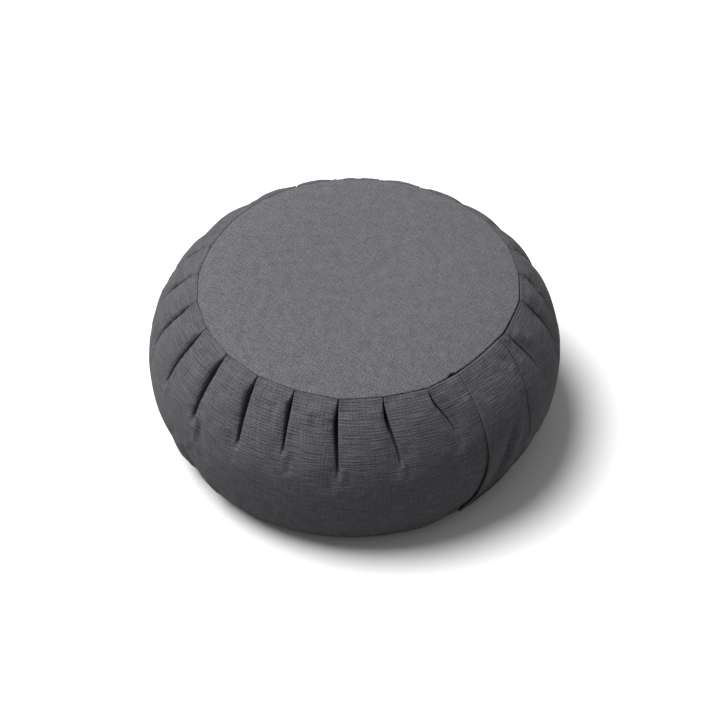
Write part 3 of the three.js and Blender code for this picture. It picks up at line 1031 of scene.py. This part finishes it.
def yarns(tree, cloth, direction, pitch, slub, shift):
    """Height of one set of yarns: rounded threads a pitch apart, with slubs along them."""
    threads = add_node(tree, "ShaderNodeTexWave", {"bands_direction": direction}, Vector=cloth,
                       Scale=WAVE_LENGTH / pitch, Distortion=WOBBLE, Detail=1.0, Detail_Scale=1.0)
    placed = add_node(tree, "ShaderNodeMapping", Vector=cloth, Location=(shift, shift, 0),
                      Scale=(1 / slub[0], 1 / slub[1], 1))
    streaks = add_node(tree, "ShaderNodeTexNoise", {"noise_dimensions": "2D"},
                       Vector=placed.outputs[0], Scale=1.0, Detail=1.0)
    thick = add_node(tree, "ShaderNodeMapRange", Value=streaks.outputs[0],
                     From_Min=NOISE_LOW, From_Max=NOISE_HIGH)
    both = add_node(tree, "ShaderNodeMix", Factor=SLUB_SHARE,
                    A=threads.outputs[1], B=thick.outputs[0])
    return both.outputs[0]


print("a 2 mm pitch needs a wave of scale", round(WAVE_LENGTH / (2 * MM)))

# %% Cloth material
MOTTLING = 11 * MM
MOTTLING_SHARE = 0.15
# The ramp's dark end is painted shade between the threads, and its light end is painted light on
# the raised slubs.
DARK_AT = 0.25
LIGHT_AT = 0.75
# The two sets of slubs are read from different places of the noise, so that they differ.
WEFT_SHIFT = 3.1
WARP_SHIFT = 7.7


def slub_cloth(name, dark, light, relief, weave):
    """Plain-weave slub cloth, with painted shade between the threads and painted light on the
    slubs.
    """
    material = bpy.data.materials.new(name)
    material.use_nodes = True
    tree = material.node_tree
    tree.nodes.clear()
    cloth = add_node(tree, "ShaderNodeUVMap", {"uv_map": "cloth"}).outputs[0]
    long, across = weave["slub"]
    weft = yarns(tree, cloth, "Y", weave["weft_pitch"], (long, across), WEFT_SHIFT)
    warp = yarns(tree, cloth, "X", weave["warp_pitch"], (across, long), WARP_SHIFT)
    crossed = add_node(tree, "ShaderNodeMix", Factor=weave["warp_share"], A=weft, B=warp)
    fibres = add_node(tree, "ShaderNodeTexNoise", {"noise_dimensions": "2D"}, Vector=cloth,
                      Scale=1 / weave["grain"], Detail=1.0)
    grain = add_node(tree, "ShaderNodeMapRange", Value=fibres.outputs[0],
                     From_Min=NOISE_LOW, From_Max=NOISE_HIGH)
    height = add_node(tree, "ShaderNodeMix", Factor=weave["grain_share"],
                      A=crossed.outputs[0], B=grain.outputs[0])
    mottling = add_node(tree, "ShaderNodeTexNoise", {"noise_dimensions": "2D"}, Vector=cloth,
                        Scale=1 / MOTTLING, Detail=3.0)
    # The colour follows the yarn's height as painted shade and light of its relief, mixed with the
    # mottling, which is the cloth's own random tone.
    tone_with_painted_shade = add_node(tree, "ShaderNodeMix", Factor=MOTTLING_SHARE,
                    A=height.outputs[0], B=mottling.outputs[0])
    ramp = add_node(tree, "ShaderNodeValToRGB", Fac=tone_with_painted_shade.outputs[0])
    stops = ((DARK_AT, dark), (LIGHT_AT, light))
    for element, (position, colour) in zip(ramp.color_ramp.elements, stops):
        element.position = position
        element.color = linear(colour)
    bump = add_node(tree, "ShaderNodeBump", Strength=1.0, Distance=relief, Height=height.outputs[0])
    shader = add_node(tree, "ShaderNodeBsdfPrincipled", Base_Color=ramp.outputs[0],
                      Normal=bump.outputs[0], Roughness=0.92, IOR=1.5, Specular_IOR_Level=0.2,
                      Sheen_Weight=0.04, Sheen_Roughness=0.5)
    add_node(tree, "ShaderNodeOutputMaterial", Surface=shader.outputs[0])
    return material


# The gathered band shows its slubs as long streaks round the cushion, and the flat panels look
# finer. Both are one cloth: the panels' lighter colours are painted light, as the top is seen from
# above in full light, and the band's darker colours are painted shade, for the sides turned from
# the light.
BAND_WEAVE = dict(weft_pitch=2.5 * MM, warp_pitch=2.1 * MM, slub=(16 * MM, 1.25 * MM),
                  warp_share=0.34, grain=1.1 * MM, grain_share=0.3)
PANEL_WEAVE = dict(weft_pitch=1.9 * MM, warp_pitch=1.9 * MM, slub=(11 * MM, 0.9 * MM),
                   warp_share=0.45, grain=1.1 * MM, grain_share=0.48)
RELIEF = 0.8 * MM
# Lit and shaded copies of one cloth: painted shade on the band and flap, painted light on the
# panels.
band_cloth = slub_cloth("charcoal_slub_cloth_band_painted_shade", "#3e3d41", "#5e5d61", RELIEF, BAND_WEAVE)
panel_cloth = slub_cloth("charcoal_slub_cloth_panel_painted_light", "#454448", "#6e6d71", RELIEF, PANEL_WEAVE)
for piece in (band, flap):
    piece.data.materials.append(band_cloth)
for piece in (top_panel, bottom_panel):
    piece.data.materials.append(panel_cloth)
print("materials:", band_cloth.name, panel_cloth.name)

# %% [markdown]
# ## Hand the pieces to the frame
#
# Each cloth piece takes the place of its plain solid and stays on the cushion's one body. The band
# is padded: a zafu is filled firmly, but its hulls can still move.

# %% Attach the pieces
def surface_area(piece):
    """Area of all of a piece's faces, both sides of a sheet, in square metres."""
    return sum(polygon.area for polygon in piece.data.polygons)


for piece, node, slot in (
    (band, "side_band", "band_cloth"),
    (flap, "closing_flap", "band_cloth"),
    (top_panel, "top_panel", "panel_cloth"),
    (bottom_panel, "bottom_panel", "panel_cloth"),
):
    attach(piece, "root")
    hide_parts(node)
    print(piece.name, round(surface_area(piece), 4), "square metres of surface")

# %% [markdown]
# ## Floor
#
# The photo has a matt white floor, whiter than paper. A plain white floor would throw so much
# light back up that the sides would lose their shade. So the floor here shows white, and gives
# back as much light as a mid-grey one.

# %% Floor
FLOOR_HALF = 4.0
FLOOR_SEEN = "#eeeeee"
FLOOR_GIVES_BACK = "#8c8c8c"


def make_floor():
    """A large square at the level that the cushion stands on."""
    signs = [(-1, -1), (1, -1), (1, 1), (-1, 1)]
    corners = [(across * FLOOR_HALF, back * FLOOR_HALF, 0) for across, back in signs]
    mesh = bpy.data.meshes.new("floor")
    mesh.from_pydata(corners, [], [(0, 1, 2, 3)])
    floor = bpy.data.objects.new("floor", mesh)
    bpy.context.collection.objects.link(floor)
    material = bpy.data.materials.new("matt_white_floor")
    material.use_nodes = True
    tree = material.node_tree
    ray = add_node(tree, "ShaderNodeLightPath")
    colour = add_node(tree, "ShaderNodeMixRGB", Fac=ray.outputs["Is Diffuse Ray"],
                      Color1=linear(FLOOR_SEEN), Color2=linear(FLOOR_GIVES_BACK))
    shader = tree.nodes["Principled BSDF"]
    shader.inputs["Roughness"].default_value = 0.9
    shader.inputs["Specular IOR Level"].default_value = 0.2
    tree.links.new(colour.outputs[0], shader.inputs["Base Color"])
    mesh.materials.append(material)
    return floor


print("floor,", make_floor().dimensions.x, "metres wide")

# %% [markdown]
# ## Light
#
# One soft light stands high on the left with little fill, so the right side falls into a shadow
# that is dark beside the cushion and has a soft edge. A sun lamp with a wide angle does this, and
# a plain white world fills the shade.

# %% Light
KEY_AZIMUTH = math.radians(256)
KEY_ELEVATION = math.radians(63)
KEY_SOFTNESS = math.radians(40)
KEY_STRENGTH = 5.0
FILL_STRENGTH = 0.27


def make_light():
    """The key light, the fill and a plain view transform."""
    data = bpy.data.lights.new("key", "SUN")
    data.energy = KEY_STRENGTH
    data.angle = KEY_SOFTNESS
    key = bpy.data.objects.new("key", data)
    level = math.cos(KEY_ELEVATION)
    towards = Vector((level * math.sin(KEY_AZIMUTH), -level * math.cos(KEY_AZIMUTH),
                      math.sin(KEY_ELEVATION)))
    key.rotation_euler = towards.to_track_quat("Z", "Y").to_euler()
    bpy.context.collection.objects.link(key)
    world = bpy.data.worlds.new("studio")
    world.use_nodes = True
    background = world.node_tree.nodes["Background"]
    background.inputs["Color"].default_value = (1, 1, 1, 1)
    background.inputs["Strength"].default_value = FILL_STRENGTH
    bpy.context.scene.world = world
    bpy.context.scene.view_settings.view_transform = "Standard"
    return key


print("key light strength:", make_light().data.energy)
